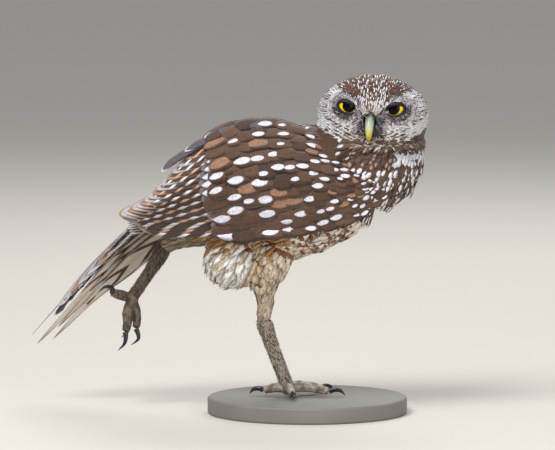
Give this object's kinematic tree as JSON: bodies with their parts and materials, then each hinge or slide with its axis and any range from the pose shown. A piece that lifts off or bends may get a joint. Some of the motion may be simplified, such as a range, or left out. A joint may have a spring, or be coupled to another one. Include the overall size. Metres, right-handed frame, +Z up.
{
  "type": "burrowing owl figure",
  "caption": "Life-size still owl standing on one leg on a round base, its other leg and one wing stretched back, its head turned to the side",
  "frame": {"origin": "centre of the underside of the round base, on the floor", "axes": "+Z up; +X the way the owl's body faces; +Y to the owl's left, away from the camera"},
  "size_m": [0.2411, 0.126, 0.2045],
  "materials": {
    "plumage_brown": "matte brown feathers with pale spots and bars",
    "plumage_pale": "matte pale buff and white feathers",
    "leg_skin": "matte scaly skin with short bristles",
    "claw_horn": "satin black horn",
    "bill_horn": "satin greenish yellow horn",
    "eye": "glossy yellow iris and black pupil",
    "stand_paint": "matte grey paint"
  },
  "bodies": {
    "root": {"torso": "plumage_brown", "neck": "plumage_pale", "head": "plumage_brown", "bill_upper": "bill_horn", "bill_lower": "bill_horn", "eye_right": "eye", "eye_left": "eye", "wing_right": "plumage_brown", "wing_left": "plumage_brown", "tail": "plumage_brown", "thigh_right": "plumage_pale", "thigh_left": "plumage_pale", "tarsus_right": "leg_skin", "tarsus_left": "leg_skin", "foot_right": "leg_skin", "foot_left": "leg_skin", "claw_right_1": "claw_horn", "claw_right_2": "claw_horn", "claw_right_3": "claw_horn", "claw_right_4": "claw_horn", "claw_left_1": "claw_horn", "claw_left_2": "claw_horn", "claw_left_3": "claw_horn", "claw_left_4": "claw_horn", "stand_base": "stand_paint"}
  },
  "joints": []
}
